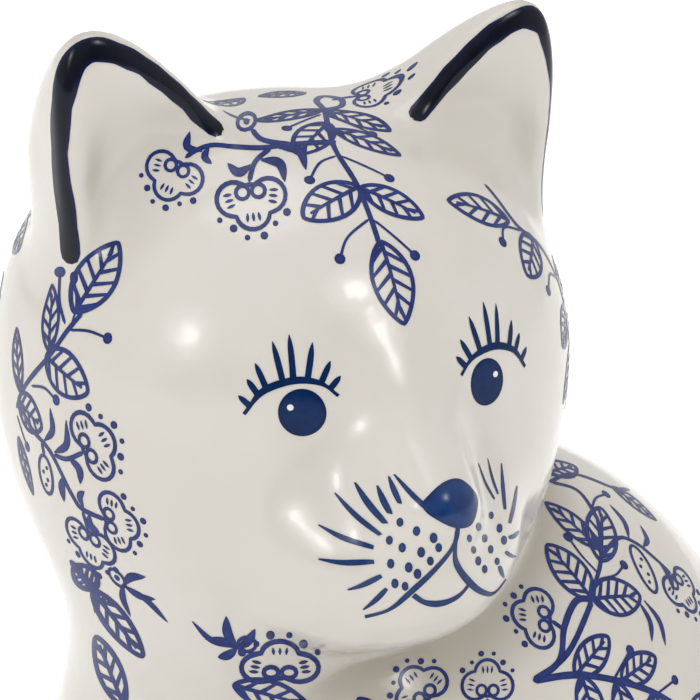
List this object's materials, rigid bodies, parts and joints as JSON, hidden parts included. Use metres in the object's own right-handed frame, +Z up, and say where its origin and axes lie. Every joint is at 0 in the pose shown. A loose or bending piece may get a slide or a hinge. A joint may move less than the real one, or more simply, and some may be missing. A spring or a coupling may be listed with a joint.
{
  "type": "ceramic cat figurine",
  "caption": "Hollow glazed ceramic cat, seated with its head turned over one shoulder, decorated in blue print, resting on felt pads.",
  "frame": {"origin": "on the surface the cat stands on, under the middle of its bounding box", "axes": "+Z up, -Y the way the chest and forepaws face, +X the cat's left, toward which the head is turned by 70 degrees"},
  "size_m": [0.186, 0.2018, 0.2749],
  "materials": {
    "glaze": "warm off-white gloss glaze over a cobalt print",
    "slip": "fired slip",
    "felt": "dark pressed felt"
  },
  "bodies": {
    "root": {"body_shell": "glaze", "head_shell": "glaze", "left_ear": "glaze", "right_ear": "glaze", "tail": "glaze", "neck_slip_joint": "slip", "felt_pad_front_left": "felt", "felt_pad_front_right": "felt", "felt_pad_rear_left": "felt", "felt_pad_rear_right": "felt"}
  },
  "joints": []
}
